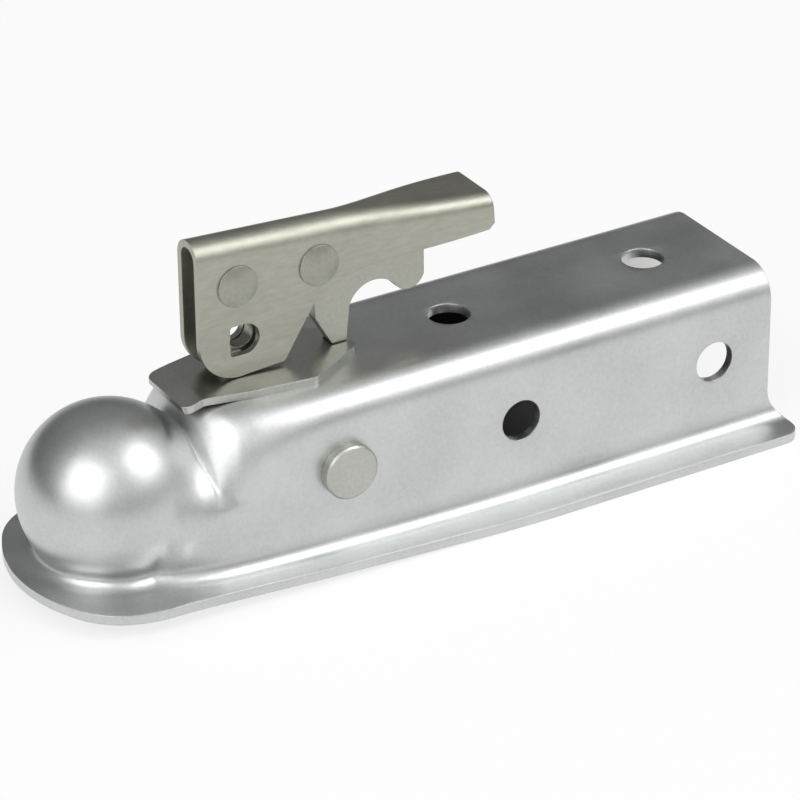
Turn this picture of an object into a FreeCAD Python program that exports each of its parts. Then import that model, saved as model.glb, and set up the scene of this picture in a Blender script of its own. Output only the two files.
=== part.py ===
# Straight-tongue trailer coupling for a 47.6 mm (1-7/8 in) tow ball.
# The origin is the centre of the ball socket, X runs back along the tongue,
# Z is up, and all sizes are in millimetres.
import FreeCAD, Part
import math
import os

from FreeCAD import Vector as V

# ball socket and pressed sheet
ball_radius = 23.8
ball_clearance = 0.6
sheet = 3.0
socket_inner_radius = ball_radius + ball_clearance
socket_outer_radius = socket_inner_radius + sheet
socket_height = 28.0
skirt_top_depth = 16.5
bottom = -socket_height

# hat-section body
tongue_width = 50.8
tongue_clearance = 0.1
half_width = tongue_width / 2 + tongue_clearance + sheet
top = 26.0
# one row for each loft station between the ball and the straight walls: x in socket radii,
# share of the inset added to x, wall and foot drawn in and flat half width as shares of the
# half width, arch start and roof drop as shares of the top
neck_stations = [
    (0.438, 0.3, 0.032, 0.085, -0.040, 0.035, 0.123),
    (0.620, 0.8, 0.021, 0.039, -0.058, 0.053, 0.285),
    (0.730, 0.9, 0.018, 0.021, -0.038, 0.105, 0.335),
    (0.803, 1.0, 0.014, 0.014, -0.008, 0.175, 0.290),
    (0.894, 1.0, 0.014, 0.014, 0.046, 0.263, 0.170),
    (1.004, 0.7, 0.014, 0.014, 0.100, 0.333, 0.075),
    (1.131, 0.4, 0.011, 0.011, 0.154, 0.393, 0.029),
    (1.296, 0.0, 0.011, 0.011, 0.231, 0.456, 0.0),
]
neck_start_x = 0.0
neck_start_drop = 2.0
neck_start_tuck = 3.0
neck_end_x = 72.0
rear_x = 213.5
bend_radius = 10.0
through = 2.0
fuse_tolerance = 0.002
loft_degree = 3
bend_ease = 0.55
round_match = 0.001

# flange round the open underside
nose_centre_x = 6.5
nose_radius = 37.0
flange_half_width = 41.0
flange_straight_x = 130.0
flange_rear_x = rear_x + 5.0
flange_corner_radius = 6.0
foot_radius = 5.0
rear_sweep_height = 9.0
rear_sweep_knee = (1.0, 3.0)
edge_reach = 1.0
edge_match = 0.02

# bolt holes for the tongue
bolt_hole_radius = 6.5
hole_pitch = 69.85
top_hole_x = 115.2
side_hole_x = 123.2
side_hole_z = 0.5

# clamp cross pin
pin_x = 63.0
pin_z = 2.3
pin_radius = 6.0
pin_head_radius = 8.6
pin_head_height = 3.6
pin_edge = 0.6
running_clearance = 0.05
sleeve_radius = 8.5
sleeve_gap = 0.3

# lever pivot and trigger pivot
plate_thickness = 2.3
plate_top = top + plate_thickness
pivot_x = 40.8
pivot_z = plate_top + 29.6
trigger_x = pivot_x + 26.8
trigger_z = pivot_z - 0.3
rivet_radius = 4.0
rivet_head_radius = 6.4
rivet_head_height = 1.6
rivet_rim_height = 0.5
spacer_radius = 6.5
side_clearance = 0.1

# latch lever, a folded channel
lever_sheet = 2.2
lever_front_x = pivot_x - 12.7
lever_length = 96.1
lever_rear_x = lever_front_x + lever_length
lever_rest_gap = 0.3
lever_bottom = plate_top + lever_rest_gap
lever_half_width = 6.0
crown_flat = 0.2
least_bend = 0.4
lever_flare_x = trigger_x + 8.4
handle_half_width = 11.5
handle_bend_radius = 4.5
# how far along the handle, and how much of the widening is reached there
handle_stations = [(0.166, 0.13), (0.373, 0.42), (0.643, 0.77)]
lever_front_top = pivot_z + 15.2
lever_rear_top = lever_front_top - 5.4
lever_corner_radius = 12.5
lever_heel = (pivot_x + 15.0, lever_bottom + 1.0)
lever_heel_radius = 1.6
lever_throat = (trigger_x - 1.7, trigger_z - 11.9)
throat_pull = (2.7, 4.2)
handle_low_front = (trigger_x + 20.4, trigger_z - 3.3)
handle_pull = (12.0, 2.7)
handle_low_rear = (lever_rear_x - 1.8, trigger_z - 0.6)
handle_rear_corner = (lever_rear_x, handle_low_rear[1] + 1.8)
rear_edge_lean = 1.0

# draw stem: flat strap above, threaded shank below
strap_half_thickness = 2.3
strap_front_x = pivot_x - 7.0
strap_rear_x = pivot_x + 7.5
strap_bottom = plate_top + 4.7
strap_top_radius = 7.0
shank_radius = 3.5
shank_bottom = -18.5
shank_clearance = 0.3
shank_chamfer = 0.8

# lock hole through the lever and the strap
lock_hole_x = pivot_x - 2.8
lock_hole_reach = 9.6
lock_hole_bottom = plate_top + 7.1
lock_hole_top = lock_hole_bottom + 9.8
lock_corner_radius = 1.0
strap_lock_x = pivot_x + 2.2
strap_lock_radius = 4.2

# trigger: its outline is given as (x, z) steps from its pivot
trigger_half_thickness = 2.4
trigger_foot = top + 0.4
trigger_boss_radius = 6.8
grip_top = (37.6, -0.6)
grip_low = (37.6, -14.0)
nub_low = (33.0, -18.0)
nub_front = (28.3, -16.2)
notch_crown = (20.6, -11.9)
leg_back = (12.1, -18.0)
leg_foot_rear = 10.7
leg_foot_front = 6.3
leg_knee = (6.0, 2.2)
leg_front = (0.6, -19.5)
neck_low = (0.3, -13.6)
back_rear = (35.4, 1.4)

# saddle plate under the lever
plate_front_x = 19.2
plate_bend_x = 25.5
plate_lip_drop = 1.6
plate_bend_radius = 6.0
plate_front_half_width = 12.3
plate_waist_half_width = 12.0
plate_side_x = 40.0
plate_side_half_width = 15.2
plate_rear_half_width = 17.5
plate_shoulder_x = 60.0
notch_clearance = 0.7
notch_front_x = trigger_x + leg_foot_front - notch_clearance
notch_half_width = 3.0
plate_tip_x = notch_front_x + 6.8
plate_tip_half_width = 6.0
plate_corner_radius = 3.0

# ball clamp on the cross pin, its jaw given in ball radii
clamp_half_width = 11.0
clamp_face_gap = 0.4
arm_top = 7.0
arm_bottom = -7.0
arm_rear_x = pivot_x + 10.5
boss_radius = 10.0
jaw_back = 1.26
jaw_top = (1.01, 0.126)
jaw_waist = (0.84, -0.336)
jaw_tip = (0.546, -0.714)
jaw_heel = (0.714, -0.82)
jaw_low = (1.134, -0.588)
jaw_root = 1.345
slot_length = 13.4
slot_width = 9.4
seat_thickness = 1.5
seat_hole_radius = 6.0
seat_rim = 0.9

# springs, washer and nut on the stem
wire_flats = 6
coil_radius = 7.5
wire_radius = 1.1
spring_turns = 4.0
spring_foot_gap = 0.2
spring_head_gap = 0.3
trigger_coil_radius = 2.4
trigger_wire_radius = 0.5
trigger_spring_turns = 3.0
trigger_spring_x = trigger_x + 20.4
trigger_spring_foot = trigger_z + 4.4
trigger_spring_gap = 0.4
washer_radius = 7.5
washer_dome_radius = 12.0
washer_rim = 1.5
nut_flats = 13.0
nut_height = 6.5
nut_chamfer_angle = math.radians(30)
stack_gap = 0.3

Y_AXIS = V(0, 1, 0)
Z_AXIS = V(0, 0, 1)


def save(name, shape):
    """Write one node after checking that it is sound."""
    if not shape.isValid():
        raise ValueError(name + " is not valid")
    shape.exportStep("parts/" + name + ".step")
    print(name, len(shape.Solids), round(shape.Volume, 1))


def box(x0, x1, y0, y1, z0, z1):
    """A block between two corners."""
    return Part.makeBox(x1 - x0, y1 - y0, z1 - z0, V(x0, y0, z0))


def rod_y(x, z, radius, y0, y1):
    """A round bar that runs across the coupling."""
    return Part.makeCylinder(radius, y1 - y0, V(x, y0, z), Y_AXIS)


def rod_z(x, radius, z0, z1):
    """A round bar that stands upright on the centre plane."""
    return Part.makeCylinder(radius, z1 - z0, V(x, 0, z0), Z_AXIS)


def side_plate(points, y0, y1):
    """A plate cut to a side outline given as (x, z) points."""
    corners = [V(x, y0, z) for x, z in points]
    face = Part.Face(Part.makePolygon(corners + corners[:1]))
    return face.extrude(V(0, y1 - y0, 0))


def upright_edges(shape, picks, tolerance=0.05):
    """The cross-running edges that pass through the picked (x, z) points."""
    found = []
    for edge in shape.Edges:
        a = edge.Vertexes[0].Point
        b = edge.Vertexes[-1].Point
        if abs(a.x - b.x) > tolerance or abs(a.z - b.z) > tolerance:
            continue
        if any(math.hypot(a.x - x, a.z - z) < tolerance for x, z in picks):
            found.append(edge)
    return found


def bend_line(x, wall, arch_start, flat, height, side):
    """The bend from a wall to the roof: a true quarter circle where it is as wide as high."""
    rise = height - arch_start
    run = wall - flat
    if abs(rise - run) < round_match:
        knee = run * (1 - math.sqrt(0.5))
        return Part.Arc(V(x, side * wall, arch_start), V(x, side * (wall - knee), height - knee),
                        V(x, side * flat, height)).toShape()
    curve = Part.BezierCurve()
    curve.setPoles([V(x, side * wall, arch_start), V(x, side * wall, arch_start + bend_ease * rise),
                    V(x, side * (flat + bend_ease * run), height), V(x, side * flat, height)])
    return curve.toShape()


def hat_section(x, wall, foot, arch_start, flat, height):
    """One closed cross-section of the body, open to the ground below."""
    return Part.Wire([
        Part.LineSegment(V(x, -foot, bottom), V(x, foot, bottom)).toShape(),
        Part.LineSegment(V(x, foot, bottom), V(x, wall, arch_start)).toShape(),
        bend_line(x, wall, arch_start, flat, height, 1),
        Part.LineSegment(V(x, flat, height), V(x, -flat, height)).toShape(),
        bend_line(x, wall, arch_start, flat, height, -1),
        Part.LineSegment(V(x, -wall, arch_start), V(x, -foot, bottom)).toShape(),
    ])


def neck_section(row, inset):
    """One cross-section of the neck, from its row of shares."""
    x, share, wall_in, foot_in, arch, flat, drop = row
    return hat_section(socket_outer_radius * x + share * inset, half_width * (1 - wall_in) - inset,
                       half_width * (1 - foot_in) - inset, top * arch, half_width * flat,
                       top * (1 - drop) - inset)


def body_block(inset):
    """The body as a full block, drawn in by the inset on every skin."""
    radius = socket_outer_radius - inset
    skirt = math.sqrt(socket_outer_radius ** 2 - skirt_top_depth ** 2) - inset
    dome = Part.makeSphere(radius).cut(box(-radius, radius, -radius, radius, bottom, -skirt_top_depth))
    ring = Part.makeCylinder(skirt, socket_height - skirt_top_depth + inset, V(0, 0, bottom))
    start = hat_section(neck_start_x, radius - neck_start_drop, skirt - neck_start_tuck, 0.0, 1.0,
                        radius - neck_start_drop)
    stations = [neck_section(row, inset) for row in neck_stations]
    neck = Part.makeLoft([start] + stations, True, False, False, loft_degree)
    straight = (half_width - inset, half_width - inset, top - bend_radius,
                half_width - bend_radius, top - inset)
    side = Part.makeLoft([stations[-1], hat_section(neck_end_x, *straight)], True, True)
    tail = Part.Face(hat_section(neck_end_x, *straight))
    tail = tail.extrude(V(flange_rear_x - neck_end_x + inset, 0, 0))
    return dome.multiFuse([ring, neck, side, tail], fuse_tolerance)


def flange_plate():
    """The rim round the nose and along both sides."""
    lean = math.atan2(flange_half_width - nose_radius, flange_straight_x - nose_centre_x)
    side = flange_half_width - flange_corner_radius
    back = flange_rear_x - flange_corner_radius
    knee = flange_corner_radius * math.sqrt(0.5)
    left = V(nose_centre_x - nose_radius * math.sin(lean), nose_radius * math.cos(lean), bottom)
    right = V(left.x, -left.y, bottom)
    nose = V(nose_centre_x - nose_radius, 0, bottom)
    edges = [
        Part.Arc(right, nose, left).toShape(),
        Part.LineSegment(left, V(flange_straight_x, flange_half_width, bottom)).toShape(),
        Part.LineSegment(V(flange_straight_x, flange_half_width, bottom),
                         V(back, flange_half_width, bottom)).toShape(),
        Part.Arc(V(back, flange_half_width, bottom), V(back + knee, side + knee, bottom),
                 V(flange_rear_x, side, bottom)).toShape(),
        Part.LineSegment(V(flange_rear_x, side, bottom), V(flange_rear_x, -side, bottom)).toShape(),
        Part.Arc(V(flange_rear_x, -side, bottom), V(back + knee, -side - knee, bottom),
                 V(back, -flange_half_width, bottom)).toShape(),
        Part.LineSegment(V(back, -flange_half_width, bottom),
                         V(flange_straight_x, -flange_half_width, bottom)).toShape(),
        Part.LineSegment(V(flange_straight_x, -flange_half_width, bottom), right).toShape(),
    ]
    return Part.Face(Part.Wire(edges)).extrude(V(0, 0, sheet))


def coupler_body():
    """Pressed body with socket, walls, flange and its holes."""
    level = bottom + sheet
    outer = body_block(0.0).fuse(flange_plate()).removeSplitter()
    foot = []
    for edge in outer.Edges:
        room = edge.BoundBox
        flat = max(abs(room.ZMin - level), abs(room.ZMax - level)) < edge_match
        inside = max(room.YMax, -room.YMin) < half_width + edge_reach
        if flat and inside and room.XMin < neck_end_x + edge_reach:
            foot.append(edge)
    outer = outer.makeFillet(foot_radius, foot)
    end_slope = [(rear_x, top + through), (rear_x, level + rear_sweep_height),
                 (rear_x + rear_sweep_knee[0], level + rear_sweep_knee[1]),
                 (flange_rear_x + edge_match, level), (flange_rear_x + through, level),
                 (flange_rear_x + through, top + through)]
    tools = [
        body_block(sheet),
        side_plate(end_slope, -flange_half_width, flange_half_width),
        rod_z(pivot_x, shank_radius + shank_clearance, 0, top + through),
        rod_y(pin_x, pin_z, pin_radius + running_clearance, -half_width - through, half_width + through),
    ]
    for step in (0, hole_pitch):
        tools.append(rod_z(top_hole_x + step, bolt_hole_radius, 0, top + through))
        tools.append(rod_y(side_hole_x + step, side_hole_z, bolt_hole_radius,
                           -half_width - through, half_width + through))
    shell = outer
    for tool in tools:
        shell = shell.cut(tool)
    return shell


def saddle_plate():
    """Wear plate on the roof: bent front lip, tapered tail with a notch."""
    slope = plate_lip_drop / (plate_bend_x - plate_front_x)
    slant = math.atan(slope)
    across = plate_thickness * math.sin(slant)
    upright = plate_thickness * math.cos(slant)
    ease = plate_thickness * math.tan(slant / 2)
    lip = plate_top - plate_lip_drop
    profile = [(plate_front_x, lip), (plate_bend_x, plate_top), (plate_tip_x, plate_top),
               (plate_tip_x, top), (plate_bend_x + ease, top),
               (plate_front_x + across, lip - upright)]
    strip = side_plate(profile, -plate_rear_half_width, plate_rear_half_width)
    strip = strip.makeFillet(plate_bend_radius + plate_thickness,
                             upright_edges(strip, [(plate_bend_x, plate_top)]))
    strip = strip.makeFillet(plate_bend_radius, upright_edges(strip, [(plate_bend_x + ease, top)]))
    half_outline = [(plate_front_x, plate_front_half_width), (plate_bend_x, plate_waist_half_width),
                    (plate_side_x, plate_side_half_width), (plate_shoulder_x, plate_rear_half_width),
                    (plate_tip_x, plate_tip_half_width)]
    outline = half_outline + [(x, -y) for x, y in reversed(half_outline)]
    corners = [V(x, y, 0) for x, y in outline]
    mask = Part.Face(Part.makePolygon(corners + corners[:1])).extrude(V(0, 0, plate_top + through))
    stand = [edge for edge in mask.Edges if edge.BoundBox.ZLength > through]
    mask = mask.makeFillet(plate_corner_radius, stand)
    plate = strip.common(mask)
    notch = box(notch_front_x, plate_tip_x + through, -notch_half_width, notch_half_width,
                0, plate_top + through)
    plate = plate.cut(notch)
    return plate.cut(rod_z(pivot_x, shank_radius + shank_clearance, 0, plate_top + through))


def lever_roof(x):
    """Height of the lever's sloping back."""
    share = (x - lever_front_x) / (lever_rear_x - lever_front_x)
    return lever_front_top + share * (lever_rear_top - lever_front_top)


def lever_section(x, wall, bend, inset):
    """One cross-section of the folded channel."""
    low = 0.0
    high = lever_roof(x) - inset
    wide = wall - inset
    turn = max(bend - inset, least_bend)
    flat = wide - turn
    knee = turn * math.sqrt(0.5)
    edges = [
        Part.LineSegment(V(x, -wide, low), V(x, wide, low)).toShape(),
        Part.LineSegment(V(x, wide, low), V(x, wide, high - turn)).toShape(),
        Part.Arc(V(x, wide, high - turn), V(x, flat + knee, high - turn + knee),
                 V(x, flat, high)).toShape(),
        Part.LineSegment(V(x, flat, high), V(x, -flat, high)).toShape(),
        Part.Arc(V(x, -flat, high), V(x, -flat - knee, high - turn + knee),
                 V(x, -wide, high - turn)).toShape(),
        Part.LineSegment(V(x, -wide, high - turn), V(x, -wide, low)).toShape(),
    ]
    return Part.Wire(edges)


def lever_block(inset):
    """The lever as a full block that widens into the handle."""
    front = lever_front_x - (through if inset else 0)
    rear = lever_rear_x + (through if inset else 0)
    crown = lever_half_width - crown_flat
    shank = Part.Face(lever_section(front, lever_half_width, crown, inset))
    shank = shank.extrude(V(lever_flare_x - front, 0, lever_roof(lever_flare_x) - lever_roof(front)))
    stations = [lever_section(lever_flare_x, lever_half_width, crown, inset)]
    for share, opened in handle_stations:
        stations.append(lever_section(lever_flare_x + share * (lever_rear_x - lever_flare_x),
                                      lever_half_width + opened * (handle_half_width - lever_half_width),
                                      crown + opened * (handle_bend_radius - crown), inset))
    stations.append(lever_section(rear, handle_half_width, handle_bend_radius, inset))
    return shank.fuse(Part.makeLoft(stations, True))


def lever_outline():
    """Side outline of the lever as a prism across its full width."""
    y = -handle_half_width - through
    radius = lever_corner_radius
    knee = radius * math.sqrt(0.5)
    centre = (lever_front_x + radius, lever_bottom + radius)
    front_low = V(lever_front_x, y, centre[1])
    knee_point = V(centre[0] - knee, y, centre[1] - knee)
    base = V(centre[0], y, lever_bottom)
    heel = V(lever_heel[0], y, lever_heel[1])
    throat = V(lever_throat[0], y, lever_throat[1])
    low_front = V(handle_low_front[0], y, handle_low_front[1])
    low_rear = V(handle_low_rear[0], y, handle_low_rear[1])
    rear_low = V(handle_rear_corner[0], y, handle_rear_corner[1])
    rear_high = V(lever_rear_x - rear_edge_lean, y, lever_front_top + through)
    front_high = V(lever_front_x, y, lever_front_top + through)
    sweep = Part.BezierCurve()
    sweep.setPoles([throat, throat + V(throat_pull[0], 0, throat_pull[1]),
                    low_front - V(handle_pull[0], 0, handle_pull[1]), low_front])
    edges = [
        Part.Arc(front_low, knee_point, base).toShape(),
        Part.LineSegment(base, heel).toShape(),
        Part.LineSegment(heel, throat).toShape(),
        sweep.toShape(),
        Part.LineSegment(low_front, low_rear).toShape(),
        Part.LineSegment(low_rear, rear_low).toShape(),
        Part.LineSegment(rear_low, rear_high).toShape(),
        Part.LineSegment(rear_high, front_high).toShape(),
        Part.LineSegment(front_high, front_low).toShape(),
    ]
    prism = Part.Face(Part.Wire(edges)).extrude(V(0, -2 * y, 0))
    return prism.makeFillet(lever_heel_radius, upright_edges(prism, [lever_heel]))


def latch_lever():
    """Folded lever: two cheeks under a rounded back, with pivot and lock holes."""
    lever = lever_block(0.0).cut(lever_block(lever_sheet)).common(lever_outline())
    wide = handle_half_width + through
    for x, z in ((pivot_x, pivot_z), (trigger_x, trigger_z)):
        lever = lever.cut(rod_y(x, z, rivet_radius + running_clearance, -wide, wide))
    middle = (lock_hole_bottom + lock_hole_top) / 2
    half = (lock_hole_top - lock_hole_bottom) / 2
    bow = rod_y(lock_hole_x + lock_hole_reach - half, middle, half, -wide, wide)
    bow = bow.fuse(box(lock_hole_x, lock_hole_x + lock_hole_reach - half, -wide, wide,
                       lock_hole_bottom, lock_hole_top)).removeSplitter()
    corners = [(lock_hole_x, lock_hole_bottom), (lock_hole_x, lock_hole_top)]
    return lever.cut(bow.makeFillet(lock_corner_radius, upright_edges(bow, corners)))


def rivet(x, z):
    """A shank through the lever with a low domed head on each side."""
    body = rod_y(x, z, rivet_radius, -lever_half_width, lever_half_width)
    rise = rivet_head_height - rivet_rim_height
    dome_radius = (rivet_head_radius ** 2 + rise ** 2) / (2 * rise)
    for side in (-1, 1):
        face = side * lever_half_width
        blank = rod_y(x, z, rivet_head_radius, min(face, face + side * rivet_head_height),
                      max(face, face + side * rivet_head_height))
        crown = face + side * rivet_head_height
        dome = Part.makeSphere(dome_radius, V(x, crown - side * dome_radius, z))
        body = body.fuse(blank.common(dome))
    return body.removeSplitter()


def spacers(x, z, inner_half):
    """A pair of loose rings between the cheeks and the plate between them."""
    rings = []
    outer_half = lever_half_width - lever_sheet
    start = inner_half + side_clearance
    for y0, y1 in ((start, outer_half), (-outer_half, -start)):
        ring = rod_y(x, z, spacer_radius, y0, y1)
        rings.append(ring.cut(rod_y(x, z, rivet_radius + running_clearance, y0, y1)))
    return Part.makeCompound(rings)


def draw_stem():
    """Flat strap with a pivot eye and lock hole, turned down to a threaded shank."""
    half = strap_half_thickness
    strap = box(strap_front_x, strap_rear_x, -half, half, strap_bottom, pivot_z)
    eye = rod_y(pivot_x, pivot_z, strap_top_radius, -half, half)
    strap = strap.fuse(eye).removeSplitter()
    shank = rod_z(pivot_x, shank_radius, shank_bottom, strap_bottom + through)
    tip = [edge for edge in shank.Edges if edge.BoundBox.ZMax < shank_bottom + edge_match]
    shank = shank.makeChamfer(shank_chamfer, tip)
    stem = strap.fuse(shank)
    stem = stem.cut(rod_y(pivot_x, pivot_z, rivet_radius + running_clearance, -half, half))
    middle = (lock_hole_bottom + lock_hole_top) / 2
    return stem.cut(rod_y(strap_lock_x, middle, strap_lock_radius, -half, half))


def trigger():
    """Finger trigger: grip with a nub, round finger notch and a leg down to the roof."""
    y = -trigger_half_thickness

    def spot(step):
        return V(trigger_x + step[0], y, trigger_z + step[1])

    def low(along, rise):
        return V(trigger_x + along, y, trigger_foot + rise)

    boss_top = spot((0, trigger_boss_radius))
    boss_low = spot((0, -trigger_boss_radius))
    knee = low(*leg_knee)
    edges = [
        Part.LineSegment(spot(grip_top), spot(grip_low)).toShape(),
        Part.Arc(spot(grip_low), spot(nub_low), spot(nub_front)).toShape(),
        Part.Arc(spot(nub_front), spot(notch_crown), spot(leg_back)).toShape(),
        Part.LineSegment(spot(leg_back), low(leg_foot_rear, 0)).toShape(),
        Part.LineSegment(low(leg_foot_rear, 0), low(leg_foot_front, 0)).toShape(),
        Part.LineSegment(low(leg_foot_front, 0), knee).toShape(),
        Part.LineSegment(knee, spot(leg_front)).toShape(),
        Part.LineSegment(spot(leg_front), spot(neck_low)).toShape(),
        Part.LineSegment(spot(neck_low), boss_low).toShape(),
        Part.Arc(boss_low, spot((-trigger_boss_radius, 0)), boss_top).toShape(),
        Part.LineSegment(boss_top, spot(back_rear)).toShape(),
        Part.LineSegment(spot(back_rear), spot(grip_top)).toShape(),
    ]
    plate = Part.Face(Part.Wire(edges)).extrude(V(0, 2 * trigger_half_thickness, 0))
    return plate.cut(rod_y(trigger_x, trigger_z, rivet_radius + running_clearance, y, -y))


def coil(x, z0, z1, radius, wire, turns):
    """An upright helical spring, its wire drawn with flats."""
    rise = z1 - z0 - 2 * wire
    helix = Part.makeHelix(rise / turns, rise, radius)
    helix.translate(V(x, 0, z0 + wire))
    points = []
    for step in range(wire_flats + 1):
        turn = math.radians(360 * (step + 0.5) / wire_flats)
        points.append(V(x + radius + wire * math.cos(turn), 0, z0 + wire + wire * math.sin(turn)))
    return Part.Wire(helix).makePipeShell([Part.makePolygon(points)], True, True)


def clamp_pin():
    """Cross pin with a flat round head on both sides, bevelled at its rim."""
    pin = rod_y(pin_x, pin_z, pin_radius, -half_width, half_width)
    for side in (-1, 1):
        face = side * half_width
        tip = face + side * pin_head_height
        head = rod_y(pin_x, pin_z, pin_head_radius, min(face, tip), max(face, tip))
        rim = [edge for edge in head.Edges
               if max(abs(edge.BoundBox.YMin - tip), abs(edge.BoundBox.YMax - tip)) < edge_match]
        pin = pin.fuse(head.makeChamfer(pin_edge, rim))
    return pin.removeSplitter()


def pin_sleeves():
    """Two tubes that keep the clamp in the middle of the pin."""
    tubes = []
    reach = half_width - sheet - sleeve_gap
    start = clamp_half_width + sleeve_gap
    for y0, y1 in ((start, reach), (-reach, -start)):
        tube = rod_y(pin_x, pin_z, sleeve_radius, y0, y1)
        tubes.append(tube.cut(rod_y(pin_x, pin_z, pin_radius + running_clearance, y0, y1)))
    return Part.makeCompound(tubes)


def ball_clamp():
    """Arm on the cross pin with a hollow jaw that holds the ball from behind and below."""
    wide = clamp_half_width
    jaw = [(ball_radius * x, ball_radius * z) for x, z in (jaw_top, jaw_waist, jaw_tip, jaw_heel, jaw_low)]
    profile = [(pin_x, pin_z + boss_radius), (arm_rear_x, arm_top), (ball_radius * jaw_back, arm_top)]
    profile += jaw + [(ball_radius * jaw_root, arm_bottom), (arm_rear_x, arm_bottom),
                      (pin_x, pin_z - boss_radius)]
    clamp = side_plate(profile, -wide, wide).fuse(rod_y(pin_x, pin_z, boss_radius, -wide, wide))
    clamp = clamp.removeSplitter().cut(Part.makeSphere(ball_radius + clamp_face_gap))
    clamp = clamp.cut(rod_y(pin_x, pin_z, pin_radius + running_clearance, -wide, wide))
    straight = (slot_length - slot_width) / 2
    slot = box(pivot_x - straight, pivot_x + straight, -slot_width / 2, slot_width / 2,
               -ball_radius, ball_radius)
    for x in (pivot_x - straight, pivot_x + straight):
        slot = slot.fuse(rod_z(x, slot_width / 2, -ball_radius, ball_radius))
    return clamp.cut(slot)


def spring_seat():
    """Ring under the spring, on top of the clamp arm."""
    ring = rod_z(pivot_x, coil_radius + wire_radius + seat_rim, arm_top, arm_top + seat_thickness)
    return ring.cut(rod_z(pivot_x, seat_hole_radius, arm_top, arm_top + seat_thickness))


def stem_washer():
    """Washer with a domed top that lets the clamp arm tilt."""
    hollow = washer_dome_radius - math.sqrt(washer_dome_radius ** 2 - (slot_width / 2) ** 2)
    crown = arm_bottom - stack_gap + hollow
    low = crown - washer_rim - (washer_dome_radius - math.sqrt(washer_dome_radius ** 2 - washer_radius ** 2))
    blank = rod_z(pivot_x, washer_radius, low, crown)
    blank = blank.common(Part.makeSphere(washer_dome_radius, V(pivot_x, 0, crown - washer_dome_radius)))
    return blank.cut(rod_z(pivot_x, shank_radius + running_clearance, low, crown)), low


def adjusting_nut(ceiling):
    """Hexagon nut under the washer, chamfered at both ends."""
    across = nut_flats / math.sqrt(3)
    points = []
    for step in range(7):
        turn = math.radians(60 * step)
        points.append(V(pivot_x + across * math.cos(turn), across * math.sin(turn), ceiling - nut_height))
    nut = Part.Face(Part.makePolygon(points)).extrude(V(0, 0, nut_height))
    small = nut_flats / 2
    large = small + nut_height / math.tan(nut_chamfer_angle)
    base = V(pivot_x, 0, ceiling - nut_height)
    nut = nut.common(Part.makeCone(small, large, nut_height, base, Z_AXIS))
    nut = nut.common(Part.makeCone(large, small, nut_height, base, Z_AXIS))
    return nut.cut(rod_z(pivot_x, shank_radius + running_clearance, ceiling - nut_height, ceiling))


os.makedirs("parts", exist_ok=True)
washer, washer_low = stem_washer()
save("coupler_body", coupler_body())
save("saddle_plate", saddle_plate())
save("latch_lever", latch_lever())
save("pivot_rivet", rivet(pivot_x, pivot_z))
save("pivot_spacers", spacers(pivot_x, pivot_z, strap_half_thickness))
save("draw_stem", draw_stem())
save("trigger", trigger())
save("trigger_rivet", rivet(trigger_x, trigger_z))
save("trigger_spacers", spacers(trigger_x, trigger_z, trigger_half_thickness))
save("trigger_spring", coil(trigger_spring_x, trigger_spring_foot,
                            lever_roof(trigger_spring_x) - lever_sheet - trigger_spring_gap,
                            trigger_coil_radius, trigger_wire_radius, trigger_spring_turns))
save("clamp_pin", clamp_pin())
save("pin_sleeves", pin_sleeves())
save("ball_clamp", ball_clamp())
save("spring_seat", spring_seat())
save("clamp_spring", coil(pivot_x, arm_top + seat_thickness + spring_foot_gap,
                          top - sheet - spring_head_gap, coil_radius, wire_radius, spring_turns))
save("stem_washer", washer)
save("adjusting_nut", adjusting_nut(washer_low))
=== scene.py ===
import math

import bmesh
import bpy
from mathutils import Matrix, Vector


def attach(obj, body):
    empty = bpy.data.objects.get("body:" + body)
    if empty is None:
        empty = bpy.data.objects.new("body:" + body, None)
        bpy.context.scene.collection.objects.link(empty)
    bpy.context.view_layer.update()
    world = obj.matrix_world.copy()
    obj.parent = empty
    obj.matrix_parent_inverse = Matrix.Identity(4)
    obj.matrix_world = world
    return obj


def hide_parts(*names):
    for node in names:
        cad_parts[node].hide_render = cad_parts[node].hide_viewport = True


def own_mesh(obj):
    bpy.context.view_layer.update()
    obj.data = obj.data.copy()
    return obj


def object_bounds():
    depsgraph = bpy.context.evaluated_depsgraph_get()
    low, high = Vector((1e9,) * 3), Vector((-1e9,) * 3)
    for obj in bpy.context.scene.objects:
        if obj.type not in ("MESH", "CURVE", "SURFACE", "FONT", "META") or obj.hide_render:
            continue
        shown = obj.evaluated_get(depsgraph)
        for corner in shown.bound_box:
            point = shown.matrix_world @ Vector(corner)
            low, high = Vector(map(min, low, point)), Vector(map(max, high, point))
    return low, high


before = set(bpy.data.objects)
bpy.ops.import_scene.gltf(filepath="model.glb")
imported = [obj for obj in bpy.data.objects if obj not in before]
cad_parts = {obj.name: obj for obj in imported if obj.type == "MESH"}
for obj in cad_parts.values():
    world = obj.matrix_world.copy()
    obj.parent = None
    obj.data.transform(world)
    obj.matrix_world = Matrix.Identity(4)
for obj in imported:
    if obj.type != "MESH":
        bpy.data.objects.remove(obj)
cad_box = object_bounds()

# Coupler body: one sheet of 3 mm steel, pressed over a ball-shaped punch and folded
# down into a hat section with a rim all round, then punched and zinc plated. Its skin
# is a cool satin grey with a fine grain and a faint orange peel from the press.
BODY_ZINC = (0.60, 0.615, 0.61)
# Painted light: the inner skin's colour, paler than the outer plating, stands in for light coming in at the
# open rear end.
PAINTED_LIGHT_INNER_ZINC = (0.8, 0.8, 0.79)
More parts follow.
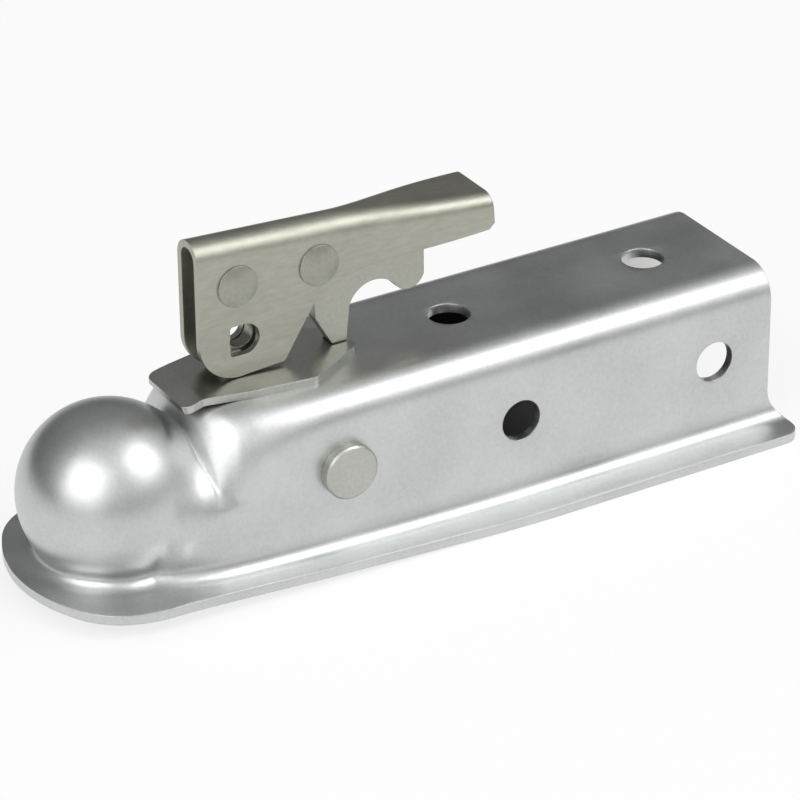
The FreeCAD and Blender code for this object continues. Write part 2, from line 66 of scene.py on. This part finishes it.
# The body's lengths are in millimetres; MM turns them into Blender's metres. The dome
# stands on a narrower skirt, and the foot turns out from it to the rim, whose top face
# is at FLANGE_TOP. ROUND is the pull that makes a bend a quarter circle. Behind
# TAIL_START the walls' foot is swept back by up to TAIL below TAIL_TOP.
MM = 0.001
SHEET = 3.0
SHEARED_EDGE = 0.4
SHARP_CORNER = math.radians(60)
SHARP_LINE = math.radians(35)
BALL_OUT = 27.4
SKIRT = 21.87
SKIRT_TOP = -16.5
FLANGE_TOP = -25.0
FOOT = 5.0
ROUND = 0.5523
NOSE = 31.0
REAR = 213.5
TAIL = 5.0
TAIL_START = 204.0
TAIL_TOP = -15.0
CORNER = 6.0

# The outer skin is the widest of three forms: the ball's dome, a low shelf beside it, and
# the ramp that climbs behind it to the flat roof. Each row of the two tables is x, the
# half widths of wall and foot, the height where the bend starts, the half width of the
# flat, the roof's height, and how far the bend is pulled along the wall and the roof.
SHELF = [
    (0.0, 22.0, 19.0, -6.0, 9.0, 7.5, 0.50, 0.60),
    (4.0, 24.6, 20.6, -6.0, 9.5, 8.2, 0.50, 0.60),
    (8.0, 26.4, 22.9, -5.5, 10.0, 8.9, 0.50, 0.60),
    (12.0, 27.1, 25.0, -5.0, 10.5, 9.4, 0.50, 0.62),
    (17.0, 27.5, 27.0, -4.4, 11.0, 9.8, 0.50, 0.64),
    (22.0, 27.9, 28.1, -4.0, 11.5, 10.2, 0.50, 0.64),
    (26.5, 28.1, 28.3, -4.0, 11.5, 10.2, 0.50, 0.64),
    (30.5, 28.25, 28.4, -4.0, 11.5, 10.2, 0.50, 0.64),
    (66.0, 28.5, 28.5, -4.0, 11.5, 10.2, 0.50, 0.64),
    (240.0, 28.5, 28.5, -4.0, 11.5, 10.2, 0.50, 0.64),
]
RAMP = [
    (0.0, 20.0, 18.0, -8.0, 1.0, 3.0, 0.30, 0.30),
    (18.4, 20.0, 19.5, -8.0, 1.0, 5.0, 0.30, 0.30),
    (20.2, 25.5, 26.5, -6.0, 1.5, 14.5, 0.42, 0.25),
    (21.4, 27.4, 27.9, -6.0, 3.0, 18.8, 0.46, 0.34),
    (23.2, 27.9, 28.1, -5.0, 5.5, 22.5, 0.46, 0.40),
    (26.2, 28.1, 28.3, -3.0, 8.5, 24.4, 0.50, 0.46),
    (30.5, 28.25, 28.4, 3.0, 11.5, 25.5, 0.55, 0.55),
    (37.0, 28.35, 28.45, 9.0, 14.0, 25.95, 0.57, 0.57),
    (50.0, 28.4, 28.5, 14.0, 16.8, 26.0, 0.56, 0.56),
    (66.0, 28.5, 28.5, 16.0, 18.5, 26.0, ROUND, ROUND),
    (240.0, 28.5, 28.5, 16.0, 18.5, 26.0, ROUND, ROUND),
]
# The crease between dome and ramp: how far its bottom lies from the body's middle line,
# and how much nearer it comes at the crown.
CREASE = 19.2
CREASE_DIP = 2.6
# How far the joins of the three forms are rounded. The ramp's join is narrow at the
# crown, widens over the last SIDE_ANGLE above level and fades out SIDE_FADE below it.
# All joins grow from the ball's middle over JOIN_RUN, and end at JOIN_END.
CREASE_JOIN = 3.0
SHELF_JOIN = 7.0
CROWN_JOIN = 0.7
SIDE_JOIN = 3.2
SIDE_ANGLE = math.radians(20)
SIDE_FADE = 12.0
JOIN_RUN = 10.0
JOIN_END = 36.0
# The rim: x and its half width, x and how far it is lifted, and angle and its reach
# round the nose, where 180 degrees is straight ahead.
RIM_SIDE = [(0.0, 37.4), (25.0, 37.8), (50.0, 38.5), (88.0, 39.6), (110.0, 40.5),
            (130.0, 41.0), (240.0, 41.0)]
RIM_LIFT = [(-NOSE, 4.9), (0.0, 4.4), (50.0, 2.1), (88.0, 0.7), (122.0, 0.0), (240.0, 0.0)]
RIM_NOSE = [(90.0, 37.4), (100.0, 37.3), (112.0, 36.9), (122.0, 36.0), (130.0, 34.9),
            (140.0, 33.2), (150.0, 32.0), (165.0, 30.8), (180.0, 30.45)]
RIM_SHARES = (0.3, 0.6, 0.85, 1.0)
# How finely each stretch is divided, from the crown down and round the nose, and the
# straight part's ribs as start, pitch and count.
BEND_STEPS = 40
DOME_STEPS = 72
WALL_STEPS = 16
FOOT_STEPS = 8
NOSE_STEPS = 60
RIB_RUNS = ((0.0, 0.9, 21), (18.9, 0.35, 23), (27.0, 0.9, 10), (36.0, 1.5, 20), (66.0, 6.9, 20))
REAR_RIBS = [206.0, 208.0, 210.0, 211.2, 212.0, 212.6, 213.0, 213.3, REAR]
MERGE_GAP = 0.00001


def follow(rows, x):
    """The values of a table at x, eased from row to row without overshoot."""
    x = min(max(x, rows[0][0]), rows[-1][0])
    at = max(i for i in range(len(rows) - 1) if rows[i][0] <= x)
    width = rows[at + 1][0] - rows[at][0]
    t = (x - rows[at][0]) / width
    values = []
    for column in range(1, len(rows[0])):
        rates = []
        for i in (at - 1, at, at + 1):
            inside = 0 <= i < len(rows) - 1
            rates.append((rows[i + 1][column] - rows[i][column]) / (rows[i + 1][0] - rows[i][0])
                         if inside else 0.0)
        start, end = [0.0 if a * b <= 0 else 2 * a * b / (a + b) for a, b in zip(rates, rates[1:])]
        low, high = rows[at][column], rows[at + 1][column]
        values.append(low + (high - low) * t * t * (3 - 2 * t)
                      + width * start * t * (1 - t) ** 2 - width * end * t * t * (1 - t))
    return values


def bend(knots, t):
    """A point at share t along a smooth bend between four knots."""
    shares = ((1 - t) ** 3, 3 * t * (1 - t) ** 2, 3 * t * t * (1 - t), t ** 3)
    return tuple(sum(s * knot[axis] for s, knot in zip(shares, knots)) for axis in (0, 1))


def blend_max(a, b, reach):
    """The larger of two lengths, rounded where they are nearly equal."""
    if reach <= 0:
        return max(a, b)
    near = max(0.0, 1 - abs(a - b) / reach)
    return max(a, b) + near * near * reach / 4


def hat_line(rows, x):
    """A folded hat's half section at x, from its foot up to the middle of the roof."""
    wall, foot, arch, flat, roof, low_pull, high_pull = follow(rows, x)
    knots = ((wall, arch), (wall, arch + low_pull * (roof - arch)),
             (flat + high_pull * (wall - flat), roof), (flat, roof))
    line = [(foot, FLANGE_TOP - SHEET)]
    line += [bend(knots, step / BEND_STEPS) for step in range(BEND_STEPS + 1)]
    line.append((0.0, roof))
    return line


def reach_at_angle(line, angle):
    """How far the hat's section lies from the body's middle line, at an angle above level."""
    c, s = math.cos(angle), math.sin(angle)
    for (ay, az), (by, bz) in zip(line, line[1:]):
        if ay * s - az * c >= 0 >= by * s - bz * c:
            across = c * (bz - az) - s * (by - ay)
            if abs(across) > 1e-9:
                return (ay * (bz - az) - az * (by - ay)) / across
    return line[-1][1]


def width_at_height(line, z):
    """Half width of the hat's section at a height."""
    for (ay, az), (by, bz) in zip(line, line[1:]):
        if az <= z <= bz and bz > az:
            return ay + (by - ay) * (z - az) / (bz - az)
    return line[0][0]


def softness(x):
    """How far the joins are rounded: not at the ball's own middle, nor along the straight walls."""
    return min(1.0, x / JOIN_RUN) * min(1.0, max(0.0, (JOIN_END - x) / JOIN_RUN))


def side_width(x, z, shelf, ramp):
    """Half width of the body below the ball's centre: ball, then skirt, against shelf and ramp."""
    ball_square = BALL_OUT ** 2 - x * x - z * z if z > SKIRT_TOP else SKIRT ** 2 - x * x
    near = softness(x)
    wide = blend_max(math.sqrt(max(ball_square, 0.0)), width_at_height(shelf, z), SHELF_JOIN * near)
    return blend_max(wide, width_at_height(ramp, z), SIDE_JOIN * near * max(0.0, 1 + z / SIDE_FADE))


def rib(x, rim, lift):
    """Half section as (half width, height) points from the crown to the rim."""
    shelf, ramp = hat_line(SHELF, x), hat_line(RAMP, x)
    ball = math.sqrt(max(BALL_OUT ** 2 - x * x, 0.0))
    near = softness(x)
    points = []
    for step in range(DOME_STEPS):
        angle = math.radians(90 * (1 - step / DOME_STEPS))
        crease = CREASE - CREASE_DIP * math.sin(angle) ** 4
        dome = blend_max(ball, crease, CREASE_JOIN) if x > 0 else ball
        low = max(0.0, 1 - angle / SIDE_ANGLE) ** 2
        far = blend_max(dome, reach_at_angle(shelf, angle), SHELF_JOIN * near)
        ramp_join = CROWN_JOIN + (SIDE_JOIN - CROWN_JOIN) * low
        far = blend_max(far, reach_at_angle(ramp, angle), ramp_join * near)
        points.append((far * math.cos(angle), far * math.sin(angle)))
    level = FLANGE_TOP + lift
    start = level + FOOT
    for step in range(WALL_STEPS + 1):
        z = start * step / WALL_STEPS
        points.append((side_width(x, z, shelf, ramp), z))
    y = points[-1][0]
    lean = (points[-2][0] - y) / (points[-2][1] - start)
    pull = ROUND * FOOT
    knots = ((y, start), (y - lean * pull, start - pull), (y + FOOT - pull, level), (y + FOOT, level))
    points += [bend(knots, step / FOOT_STEPS) for step in range(1, FOOT_STEPS + 1)]
    points += [(y + FOOT + share * (rim - y - FOOT), level) for share in RIM_SHARES]
    return points


def side_rib(x, side):
    """One rib of the straight part as points in space, its foot swept back at the rear end."""
    sweep = TAIL * max(0.0, (x - TAIL_START) / (REAR - TAIL_START))
    rim = follow(RIM_SIDE, x)[0]
    near = x + sweep - (REAR + TAIL - CORNER)
    if near > 0:
        rim -= CORNER - math.sqrt(max(CORNER ** 2 - near * near, 0.0))
    spots = []
    for y, z in rib(x, rim, follow(RIM_LIFT, x)[0]):
        drop = min(max((TAIL_TOP - z) / (TAIL_TOP - FLANGE_TOP), 0.0), 1.0)
        spots.append(Vector((x + sweep * drop * drop, side * y, z)) * MM)
    return spots


stations = [start + pitch * i for start, pitch, count in RIB_RUNS for i in range(count)] + REAR_RIBS
ribs = [side_rib(x, -1) for x in reversed(stations)]
for step in range(1, NOSE_STEPS):
    turn = math.radians(270 - 180 * step / NOSE_STEPS)
    rim = follow(RIM_NOSE, 180 - abs(180 - math.degrees(turn)))[0]
    lift = follow(RIM_LIFT, NOSE * math.cos(turn))[0]
    ribs.append([Vector((y * math.cos(turn), y * math.sin(turn), z)) * MM for y, z in rib(0.0, rim, lift)])
ribs += [side_rib(x, 1) for x in stations]

shell = bmesh.new()
grid = [[shell.verts.new(spot) for spot in row] for row in ribs]
for row, other in zip(grid, grid[1:]):
    for i in range(len(row) - 1):
        shell.faces.new((row[i], other[i], other[i + 1], row[i + 1]))
bmesh.ops.remove_doubles(shell, verts=shell.verts, dist=MERGE_GAP)
bmesh.ops.recalc_face_normals(shell, faces=shell.faces)
roof_face = max(shell.faces, key=lambda face: face.calc_center_median().z)
if roof_face.normal.z < 0:
    bmesh.ops.reverse_faces(shell, faces=shell.faces)
body_mesh = bpy.data.meshes.new("pressed_body")
shell.to_mesh(body_mesh)
shell.free()

# The plating: clouds in its tone and gloss, a fine grain, the sheet's orange peel, and
# the small radius that light catches on every sheared edge.
CLOUD_SCALE = 38.0
CLOUD_DARK = 0.9
CLOUD_PALE = 1.06
TONE_RANGE = (0.3, 0.72)
GLOSS_RANGE = (0.3, 0.7)
GLOSS_SPREAD = (-0.05, 0.06)
SPECK_SHARE = 0.16
PEEL_SCALE = 160.0
PEEL_DEPTH = 0.00006
GRIT_DEPTH = 0.00003
GRIT_SHARE = 0.25
EDGE_RADIUS = 0.0003


def add_node(tree, kind, **values):
    """A new node with its inputs set by name, an underscore standing for a space."""
    node = tree.nodes.new(kind)
    for label, value in values.items():
        node.inputs[label.replace("_", " ")].default_value = value
    return node


def plated_steel(name, colour, rough, grain=900.0, brush=None, peel=0.35):
    """Satin zinc over steel: cloudy tone, fine grain, and brushed lines along one axis."""
    material = bpy.data.materials.new(name)
    material.use_nodes = True
    tree = material.node_tree
    link = tree.links.new
    tree.nodes.clear()
    out = add_node(tree, "ShaderNodeOutputMaterial")
    skin = add_node(tree, "ShaderNodeBsdfPrincipled", Metallic=1.0)
    link(skin.outputs["BSDF"], out.inputs["Surface"])
    place = add_node(tree, "ShaderNodeTexCoord").outputs["Object"]

    cloud = add_node(tree, "ShaderNodeTexNoise", Scale=CLOUD_SCALE, Detail=5.0)
    link(place, cloud.inputs["Vector"])
    fine = add_node(tree, "ShaderNodeTexNoise", Scale=grain, Detail=3.0)
    if brush is None:
        link(place, fine.inputs["Vector"])
    else:
        drawn = add_node(tree, "ShaderNodeMapping", Scale=brush)
        link(place, drawn.inputs["Vector"])
        link(drawn.outputs["Vector"], fine.inputs["Vector"])

    tone = add_node(tree, "ShaderNodeValToRGB")
    tone.color_ramp.elements[0].position = TONE_RANGE[0]
    tone.color_ramp.elements[1].position = TONE_RANGE[1]
    tone.color_ramp.elements[0].color = (*[c * CLOUD_DARK for c in colour], 1.0)
    tone.color_ramp.elements[1].color = (*[min(1.0, c * CLOUD_PALE) for c in colour], 1.0)
    link(cloud.outputs["Fac"], tone.inputs["Fac"])
    speck = add_node(tree, "ShaderNodeMixRGB", Fac=SPECK_SHARE)
    speck.blend_type = "OVERLAY"
    link(tone.outputs["Color"], speck.inputs["Color1"])
    link(fine.outputs["Fac"], speck.inputs["Color2"])
    link(speck.outputs["Color"], skin.inputs["Base Color"])

    dull = add_node(tree, "ShaderNodeMapRange", From_Min=GLOSS_RANGE[0], From_Max=GLOSS_RANGE[1],
                    To_Min=rough + GLOSS_SPREAD[0], To_Max=rough + GLOSS_SPREAD[1])
    link(cloud.outputs["Fac"], dull.inputs["Value"])
    link(dull.outputs["Result"], skin.inputs["Roughness"])

    arris = add_node(tree, "ShaderNodeBevel", Radius=EDGE_RADIUS)
    arris.samples = 4
    ripple = add_node(tree, "ShaderNodeTexNoise", Scale=PEEL_SCALE, Detail=2.0)
    link(place, ripple.inputs["Vector"])
    wave = add_node(tree, "ShaderNodeBump", Strength=peel, Distance=PEEL_DEPTH)
    link(ripple.outputs["Fac"], wave.inputs["Height"])
    link(arris.outputs["Normal"], wave.inputs["Normal"])
    grit = add_node(tree, "ShaderNodeBump", Strength=GRIT_SHARE, Distance=GRIT_DEPTH)
    link(fine.outputs["Fac"], grit.inputs["Height"])
    link(wave.outputs["Normal"], grit.inputs["Normal"])
    link(grit.outputs["Normal"], skin.inputs["Normal"])
    return material


def finish_node(node, material):
    """Gives a CAD node its real finish."""
    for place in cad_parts[node].material_slots:
        place.link = "OBJECT"
        place.material = material


# Inside, painted light and shade: the inner skin is painted bright at the open rear end,
# where light comes in, and painted dark towards the ball, where shade falls.
PAINTED_INNER_SHADE = (0.03, 0.03, 0.028, 1.0)
PAINTED_SHADE_FADE = (0.155, 0.195)
body_zinc = plated_steel("zinc_body", BODY_ZINC, 0.38)
inner_painted_light_and_shade = plated_steel("zinc_inside_painted_light_and_shade", PAINTED_LIGHT_INNER_ZINC, 0.5)
inner_tree = inner_painted_light_and_shade.node_tree
inner_skin = inner_tree.nodes["Principled BSDF"]
inner_lit_tone = inner_skin.inputs["Base Color"].links[0].from_socket
inner_place = add_node(inner_tree, "ShaderNodeTexCoord")
inner_way = add_node(inner_tree, "ShaderNodeSeparateXYZ")
inner_shade_ramp = add_node(inner_tree, "ShaderNodeMapRange", From_Min=PAINTED_SHADE_FADE[0], From_Max=PAINTED_SHADE_FADE[1])
inner_shade_ramp.interpolation_type = "SMOOTHSTEP"
inner_shade_mix = add_node(inner_tree, "ShaderNodeMixRGB", Color1=PAINTED_INNER_SHADE)
inner_tree.links.new(inner_place.outputs["Object"], inner_way.inputs["Vector"])
inner_tree.links.new(inner_way.outputs["X"], inner_shade_ramp.inputs["Value"])
inner_tree.links.new(inner_shade_ramp.outputs["Result"], inner_shade_mix.inputs["Fac"])
inner_tree.links.new(inner_lit_tone, inner_shade_mix.inputs["Color2"])
inner_tree.links.new(inner_shade_mix.outputs["Color"], inner_skin.inputs["Base Color"])
body_mesh.materials.append(body_zinc)
body_mesh.materials.append(inner_painted_light_and_shade)


def add_object(name, data):
    """A new object, linked to the scene."""
    thing = bpy.data.objects.new(name, data)
    bpy.context.collection.objects.link(thing)
    return thing


def settle(piece):
    """Turns what a piece's modifiers make into its plain mesh."""
    bpy.context.view_layer.update()
    made = bpy.data.meshes.new_from_object(piece.evaluated_get(bpy.context.evaluated_depsgraph_get()))
    piece.modifiers.clear()
    piece.data = made


body = add_object("pressed_body", body_mesh)

# The punched holes: two for bolts and one for the stem through the roof, and in each
# wall two for bolts and one for the cross pin. A cutter starts inside the body. The
# flare is depth from the face and what it adds to the radius, at the hole's soft edge.
ROOF = 26.0
ROOF_START = 18.0
WALL = 28.5
WALL_START = 20.0
BOLT_HOLE = 6.5
ROOF_BOLTS = (115.2, 185.05)
WALL_BOLTS = (123.2, 193.05)
WALL_BOLT_Z = 0.5
STEM_HOLE = 3.8
STEM_X = 40.8
PIN_HOLE = 6.05
PIN_X = 63.0
PIN_Z = 2.3
FLARE = ((-0.55, 0.0), (-0.15, 0.12), (0.02, 0.45), (2.0, 0.45))
HOLE_STEPS = 64

punch = bmesh.new()


def punch_hole(centre, axis, radius, start, face):
    """A round cutter from a depth to past the face, with a slight flare where it leaves it."""
    turn = Vector(axis).to_track_quat("Z", "X").to_matrix()
    rings = []
    for height, size in [(start, radius)] + [(face + depth, radius + more) for depth, more in FLARE]:
        ring = []
        for step in range(HOLE_STEPS):
            angle = 2 * math.pi * step / HOLE_STEPS
            spot = Vector((size * math.cos(angle), size * math.sin(angle), height))
            ring.append(punch.verts.new((Vector(centre) + turn @ spot) * MM))
        rings.append(ring)
    for low, high in zip(rings, rings[1:]):
        for i in range(HOLE_STEPS):
            j = (i + 1) % HOLE_STEPS
            punch.faces.new((low[i], low[j], high[j], high[i]))
    punch.faces.new(list(reversed(rings[0])))
    punch.faces.new(rings[-1])


for hole_x in ROOF_BOLTS:
    punch_hole((hole_x, 0, 0), (0, 0, 1), BOLT_HOLE, ROOF_START, ROOF)
punch_hole((STEM_X, 0, 0), (0, 0, 1), STEM_HOLE, ROOF_START, ROOF)
for side in (-1, 1):
    for hole_x in WALL_BOLTS:
        punch_hole((hole_x, 0, WALL_BOLT_Z), (0, side, 0), BOLT_HOLE, WALL_START, WALL)
    punch_hole((PIN_X, 0, PIN_Z), (0, side, 0), PIN_HOLE, WALL_START, WALL)
punch_mesh = bpy.data.meshes.new("punch")
punch.to_mesh(punch_mesh)
punch.free()
punch_tool = add_object("punch", punch_mesh)

wall = body.modifiers.new("wall", "SOLIDIFY")
wall.thickness = SHEET * MM
wall.offset = -1.0
wall.use_even_offset = True
wall.use_quality_normals = True
# The inner faces take the inner material, whose colour holds painted light and shade.
wall.material_offset = 1
edge = body.modifiers.new("edge", "BEVEL")
edge.limit_method = "ANGLE"
edge.angle_limit = SHARP_CORNER
edge.width = SHEARED_EDGE * MM
edge.segments = 2
holes = body.modifiers.new("holes", "BOOLEAN")
holes.operation = "DIFFERENCE"
holes.solver = "EXACT"
holes.object = punch_tool
settle(body)
bpy.data.objects.remove(punch_tool)
body.data.shade_smooth()
body.data.set_sharp_from_angle(angle=SHARP_LINE)

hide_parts("coupler_body")
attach(body, "coupler")

# Saddle plate: a small stamping of thick sheet laid on the roof, its front lip
# bent down over the saddle. Sheared edges, same plating, a little warmer.
PLATE_ZINC = (0.52, 0.525, 0.50)
finish_node("saddle_plate", plated_steel("zinc_plate", PLATE_ZINC, 0.33))

# Latch lever: folded from one blank of 2.2 mm steel into a channel, narrow at
# the front and wide at the handle. Slightly warmer plating, drawn lines run
# along it from the rolling mill.
LEVER_ZINC = (0.415, 0.415, 0.355)
LEVER_LINES = (0.3, 1.0, 1.0)
finish_node("latch_lever", plated_steel("zinc_lever", LEVER_ZINC, 0.41, brush=LEVER_LINES))

# Rivets, rings, trigger and stem between the cheeks of the lever. The rivets are
# pressed over with low domed heads; the trigger is a stamped plate, and the stem
# is a strap that goes down through the roof.
RIVET_ZINC = (0.37, 0.37, 0.315)
DULL_ZINC = (0.36, 0.36, 0.33)
TRIGGER_ZINC = (0.43, 0.43, 0.375)
rivet_zinc = plated_steel("zinc_rivet", RIVET_ZINC, 0.36)
dull_zinc = plated_steel("zinc_dull", DULL_ZINC, 0.42)
finish_node("pivot_rivet", rivet_zinc)
finish_node("trigger_rivet", rivet_zinc)
finish_node("pivot_spacers", dull_zinc)
finish_node("trigger_spacers", dull_zinc)
finish_node("trigger", plated_steel("zinc_trigger", TRIGGER_ZINC, 0.38))
finish_node("draw_stem", dull_zinc)

# Springs: the clamp spring round the stem and the small trigger spring in the lever,
# both wound from round drawn wire. Each follows its coil as a tube.
WIRE_STEEL = (0.33, 0.33, 0.34)
TURN_STEPS = 40
WIRE_SIDES = 14
spring_wire = plated_steel("spring_wire", WIRE_STEEL, 0.35)
winder = bpy.data.node_groups.new("wound_wire", "GeometryNodeTree")
winder_inputs = {}
for label, kind in (("Wire radius", "Float"), ("Coil radius", "Float"), ("Height", "Float"),
                    ("Turns", "Float"), ("Foot", "Vector")):
    winder_inputs[label] = winder.interface.new_socket(label, in_out="INPUT", socket_type="NodeSocket" + kind)
winder.interface.new_socket("Spring", in_out="OUTPUT", socket_type="NodeSocketGeometry")
given = add_node(winder, "NodeGroupInput")
coil = add_node(winder, "GeometryNodeCurveSpiral", Resolution=TURN_STEPS)
profile = add_node(winder, "GeometryNodeCurvePrimitiveCircle", Resolution=WIRE_SIDES)
tube = add_node(winder, "GeometryNodeCurveToMesh", Fill_Caps=True)
stand = add_node(winder, "GeometryNodeTransform")
smooth = add_node(winder, "GeometryNodeSetShadeSmooth")
real = add_node(winder, "GeometryNodeRealizeInstances")
coat = add_node(winder, "GeometryNodeSetMaterial", Material=spring_wire)
result = add_node(winder, "NodeGroupOutput")
for source, socket, target, entry in (
        (given, "Turns", coil, "Rotations"), (given, "Coil radius", coil, "Start Radius"),
        (given, "Coil radius", coil, "End Radius"), (given, "Height", coil, "Height"),
        (given, "Wire radius", profile, "Radius"), (coil, "Curve", tube, "Curve"),
        (profile, "Curve", tube, "Profile Curve"), (tube, "Mesh", stand, "Geometry"),
        (given, "Foot", stand, "Translation"), (stand, "Geometry", smooth, "Geometry"),
        (smooth, "Geometry", real, "Geometry"), (real, "Geometry", coat, "Geometry"),
        (coat, "Geometry", result, "Spring")):
    winder.links.new(source.outputs[socket], target.inputs[entry])


def wound_spring(name, node, rides_on, sizes):
    """A round-wire spring in place of a CAD coil."""
    piece = add_object(name, bpy.data.meshes.new(name))
    wind = piece.modifiers.new("wind", "NODES")
    wind.node_group = winder
    for label, value in sizes.items():
        wind[winder_inputs[label].identifier] = value
    settle(piece)
    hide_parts(node)
    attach(piece, rides_on)


wound_spring("wound_clamp_spring", "clamp_spring", "coupler",
             {"Wire radius": 0.0011, "Coil radius": 0.0075, "Height": 0.0118, "Turns": 4.0,
              "Foot": (0.0408, 0.0, 0.0098)})
wound_spring("wound_trigger_spring", "trigger_spring", "lever",
             {"Wire radius": 0.0005, "Coil radius": 0.0024, "Height": 0.0041, "Turns": 3.0,
              "Foot": (0.088, 0.0, 0.0625)})
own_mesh(bpy.data.objects["wound_trigger_spring"])

# Clamp under the socket, with its cross pin, sleeves, spring seat, washer and nut. The
# clamp is cast, and the pin's flat heads are upset cold against the walls.
PIN_ZINC = (0.48, 0.485, 0.445)
CAST_ZINC = (0.42, 0.42, 0.42)
finish_node("clamp_pin", plated_steel("zinc_pin", PIN_ZINC, 0.36))
finish_node("pin_sleeves", dull_zinc)
finish_node("ball_clamp", plated_steel("cast_clamp", CAST_ZINC, 0.5))
finish_node("spring_seat", dull_zinc)
finish_node("stem_washer", dull_zinc)
finish_node("adjusting_nut", dull_zinc)

# Studio: a pale floor that runs out of sight, two soft lamps above the front and a
# world that is darker behind the coupling, as in a product tent. Straight under the
# body the floor is painted dark as shade, a patch that shows only through the holes.
FLOOR_END = 6.0
FLOOR_GAP = 0.0001
SHADE_PATCH_LENGTH = 0.206
SHADE_PATCH_HALF = 0.03
PALE_PAPER = (0.93, 0.93, 0.93, 1.0)
PAINTED_SHADE_TONE = (0.22, 0.22, 0.22, 1.0)
WHITE = (1.0, 1.0, 1.0, 1.0)
GLOW_SHARE = 0.8
floor_mesh = bpy.data.meshes.new("floor")
ground = cad_box[0].z - FLOOR_GAP
floor_x = (-FLOOR_END, 0.0, SHADE_PATCH_LENGTH, FLOOR_END)
floor_y = (-FLOOR_END, -SHADE_PATCH_HALF, SHADE_PATCH_HALF, FLOOR_END)
floor_mesh.from_pydata([(x, y, ground) for y in floor_y for x in floor_x], [],
                       [(i, i + 1, i + 5, i + 4) for i in (0, 1, 2, 4, 5, 6, 8, 9, 10)])
# The middle patch, under the body, is painted dark as shade.
floor_mesh.polygons[4].material_index = 1
floor = add_object("floor", floor_mesh)

# The pale paper takes the coupling's shadow, and shows nearly white to the camera and
# in reflections.
paper = bpy.data.materials.new("pale_paper")
paper.use_nodes = True
paper_tree = paper.node_tree
matt = paper_tree.nodes["Principled BSDF"]
matt.inputs["Base Color"].default_value = PALE_PAPER
matt.inputs["Roughness"].default_value = 0.9
glow = add_node(paper_tree, "ShaderNodeEmission", Color=WHITE)
path = add_node(paper_tree, "ShaderNodeLightPath")
seen, seen_through, glow_part = [add_node(paper_tree, "ShaderNodeMath") for step in range(3)]
seen.operation = seen_through.operation = "MAXIMUM"
glow_part.operation = "MULTIPLY"
glow_part.inputs[1].default_value = GLOW_SHARE
white = add_node(paper_tree, "ShaderNodeMixShader")
for source, target in (
        (path.outputs["Is Camera Ray"], seen.inputs[0]), (path.outputs["Is Glossy Ray"], seen.inputs[1]),
        (seen.outputs["Value"], seen_through.inputs[0]),
        (path.outputs["Is Transmission Ray"], seen_through.inputs[1]),
        (seen_through.outputs["Value"], glow_part.inputs[0]),
        (glow_part.outputs["Value"], white.inputs["Fac"]),
        (matt.outputs["BSDF"], white.inputs[1]), (glow.outputs["Emission"], white.inputs[2]),
        (white.outputs["Shader"], paper_tree.nodes["Material Output"].inputs["Surface"])):
    paper_tree.links.new(source, target)
floor_mesh.materials.append(paper)
# Painted shade: a dark matt paper for the patch under the body.
shade_patch_material = bpy.data.materials.new("painted_shade_paper")
shade_patch_material.use_nodes = True
shade_patch_material.node_tree.nodes["Principled BSDF"].inputs["Base Color"].default_value = PAINTED_SHADE_TONE
floor_mesh.materials.append(shade_patch_material)

LAMP_AIM = (0.08, 0.0, 0.01)


def soft_lamp(name, place, size, watts):
    """A square soft box that faces the coupling."""
    light = bpy.data.lights.new(name, "AREA")
    light.shape = "SQUARE"
    light.size = size
    light.energy = watts
    lamp = add_object(name, light)
    lamp.location = place
    lamp.rotation_mode = "QUATERNION"
    lamp.rotation_quaternion = (Vector(LAMP_AIM) - Vector(place)).to_track_quat("-Z", "Y")


soft_lamp("lamp_bend", (0.75, -0.75, 1.15), 0.9, 7.0)
soft_lamp("lamp_left", (-1.25, -0.65, 1.05), 1.5, 13.0)

# The tent's light fades from front to back, and again from overhead to the horizon.
world = bpy.data.worlds.new("tent")
bpy.context.scene.world = world
world.use_nodes = True
tent_tree = world.node_tree
tent = tent_tree.nodes["Background"]
tent.inputs["Color"].default_value = WHITE
look = add_node(tent_tree, "ShaderNodeTexCoord")
way = add_node(tent_tree, "ShaderNodeSeparateXYZ")
back_fade = add_node(tent_tree, "ShaderNodeMapRange", From_Min=-0.3, From_Max=0.6, To_Min=0.85, To_Max=0.22)
low_fade = add_node(tent_tree, "ShaderNodeMapRange", From_Min=0.1, From_Max=0.45, To_Min=0.42, To_Max=1.0)
back_fade.interpolation_type = low_fade.interpolation_type = "SMOOTHSTEP"
shade = add_node(tent_tree, "ShaderNodeMath")
shade.operation = "MULTIPLY"
for source, target in (
        (look.outputs["Generated"], way.inputs["Vector"]), (way.outputs["Y"], back_fade.inputs["Value"]),
        (way.outputs["Z"], low_fade.inputs["Value"]), (back_fade.outputs["Result"], shade.inputs[0]),
        (low_fade.outputs["Result"], shade.inputs[1]), (shade.outputs["Value"], tent.inputs["Strength"])):
    tent_tree.links.new(source, target)

# Camera: a long lens from the front left, above the ball end, turned very slightly
# about its own axis as the photograph is.
LENS_LENGTH = 178.35
CAMERA_PLACE = (-0.43295, -0.89710, 0.57571)
CAMERA_LOOK = (0.44613, 0.75376, -0.48252)
CAMERA_ROLL = math.radians(-0.53)
lens = bpy.data.cameras.new("photo_camera")
lens.sensor_width = 36.0
lens.lens = LENS_LENGTH
lens.clip_start = 0.05
lens.clip_end = 30.0
forward = Vector(CAMERA_LOOK).normalized()
sideways = forward.cross(Vector((0, 0, 1))).normalized()
rise = sideways.cross(forward)
right = sideways * math.cos(CAMERA_ROLL) + rise * math.sin(CAMERA_ROLL)
up = rise * math.cos(CAMERA_ROLL) - sideways * math.sin(CAMERA_ROLL)
camera = add_object("photo_camera", lens)
camera.rotation_mode = "QUATERNION"
camera.rotation_quaternion = Matrix((right, up, -forward)).transposed().to_quaternion()
camera.location = CAMERA_PLACE
bpy.context.scene.camera = camera

bpy.context.scene.view_settings.view_transform = "Standard"
